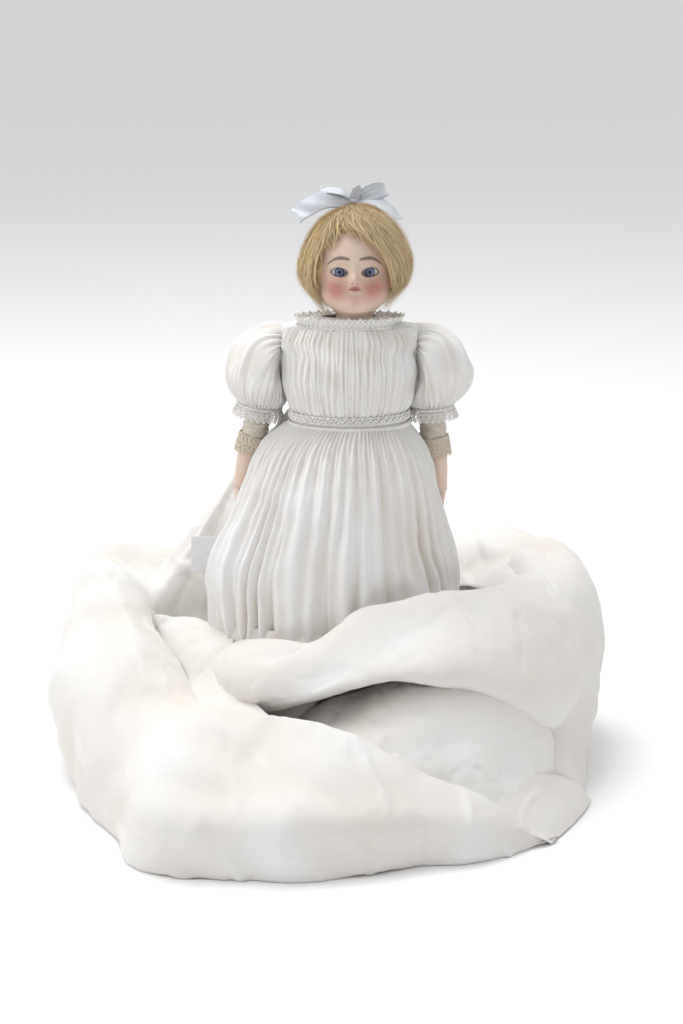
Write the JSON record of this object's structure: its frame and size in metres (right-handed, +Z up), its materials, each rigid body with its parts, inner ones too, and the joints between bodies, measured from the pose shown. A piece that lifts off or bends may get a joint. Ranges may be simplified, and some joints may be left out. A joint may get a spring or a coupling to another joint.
{
  "type": "porcelain doll",
  "caption": "Dressed bisque shoulder-head doll with a blonde wig, jointed limbs and a long white lace-trimmed gown, upright on a hidden waist stand.",
  "frame": {"origin": "on the table, at the middle of the underside of the stand's base", "axes": "+Z up; the doll faces -Y; +X is the doll's own left, which is the right as she is seen from the front"},
  "size_m": [0.3849, 0.3631, 0.4091],
  "materials": {
    "bisque": "unglazed, satin, fired-in blush",
    "kid": "soft, creased, matt",
    "gown_cotton": "fine plain weave, gathered and creased",
    "white_lace": "cotton lace and braid",
    "aged_lace": "tea-coloured cotton lace",
    "mohair": "fine combed strands with a soft sheen",
    "blue_satin": "satin ribbon",
    "eye_glass": "blown glass, blue-violet iris",
    "plaster": "matt",
    "cork": "matt",
    "stand_wood": "satin varnish",
    "stand_steel": "satin",
    "tag_card": "matt",
    "tag_thread": "cotton thread",
    "china_button": "gloss"
  },
  "bodies": {
    "doll": {"shoulder_head": "bisque", "pate": "cork", "eye_right": "eye_glass", "eye_left": "eye_glass", "eye_plaster": "plaster", "wig": "mohair", "ribbon_knot": "blue_satin", "ribbon_right": "blue_satin", "ribbon_left": "blue_satin", "torso": "kid", "bodice": "gown_cotton", "neck_band": "gown_cotton", "neck_lace": "white_lace", "waistband": "gown_cotton", "waist_braid_upper": "white_lace", "waist_braid_lower": "white_lace", "back_button_1": "china_button", "back_button_2": "china_button", "back_button_3": "china_button", "skirt": "gown_cotton", "petticoat": "gown_cotton", "stand_base": "stand_wood", "stand_post": "stand_steel", "stand_clip": "stand_steel"},
    "arm_right": {"upper_arm_right": "kid", "sleeve_right": "gown_cotton", "sleeve_cuff_right": "white_lace"},
    "forearm_right_body": {"kid_cuff_right": "kid", "arm_lace_right": "aged_lace", "forearm_right": "bisque", "tag_thread": "tag_thread", "card_tag": "tag_card"},
    "arm_left": {"upper_arm_left": "kid", "sleeve_left": "gown_cotton", "sleeve_cuff_left": "white_lace"},
    "forearm_left_body": {"kid_cuff_left": "kid", "arm_lace_left": "aged_lace", "forearm_left": "bisque"},
    "leg_right": {"thigh_right": "kid"},
    "lower_leg_right_body": {"lower_leg_right": "kid"},
    "leg_left": {"thigh_left": "kid"},
    "lower_leg_left_body": {"lower_leg_left": "kid"}
  },
  "joints": [
    {"name": "shoulder_right", "type": "hinge", "parent": "doll", "child": "arm_right", "pos_m": [-0.05484, 0.01373, 0.303], "axis": [-0.978, 0.2085, 0], "range_deg": [-25, 90]},
    {"name": "elbow_right", "type": "hinge", "parent": "arm_right", "child": "forearm_right_body", "pos_m": [-0.0651, 0.01592, 0.24189], "axis": [-0.978, 0.2085, 0], "range_deg": [0, 55]},
    {"name": "shoulder_left", "type": "hinge", "parent": "doll", "child": "arm_left", "pos_m": [0.05484, 0.01373, 0.303], "axis": [-0.978, -0.2085, 0], "range_deg": [-25, 90]},
    {"name": "elbow_left", "type": "hinge", "parent": "arm_left", "child": "forearm_left_body", "pos_m": [0.05848, 0.01451, 0.24111], "axis": [-0.978, -0.2085, 0], "range_deg": [0, 55]},
    {"name": "hip_right", "type": "hinge", "parent": "doll", "child": "leg_right", "pos_m": [-0.0195, 0, 0.205], "axis": [-1, 0, 0], "range_deg": [-8, 14]},
    {"name": "knee_right", "type": "hinge", "parent": "leg_right", "child": "lower_leg_right_body", "pos_m": [-0.0195, 0, 0.11], "axis": [1, 0, 0], "range_deg": [0, 25]},
    {"name": "hip_left", "type": "hinge", "parent": "doll", "child": "leg_left", "pos_m": [0.0195, 0, 0.205], "axis": [-1, 0, 0], "range_deg": [-8, 14]},
    {"name": "knee_left", "type": "hinge", "parent": "leg_left", "child": "lower_leg_left_body", "pos_m": [0.0195, 0, 0.11], "axis": [1, 0, 0], "range_deg": [0, 25]}
  ]
}
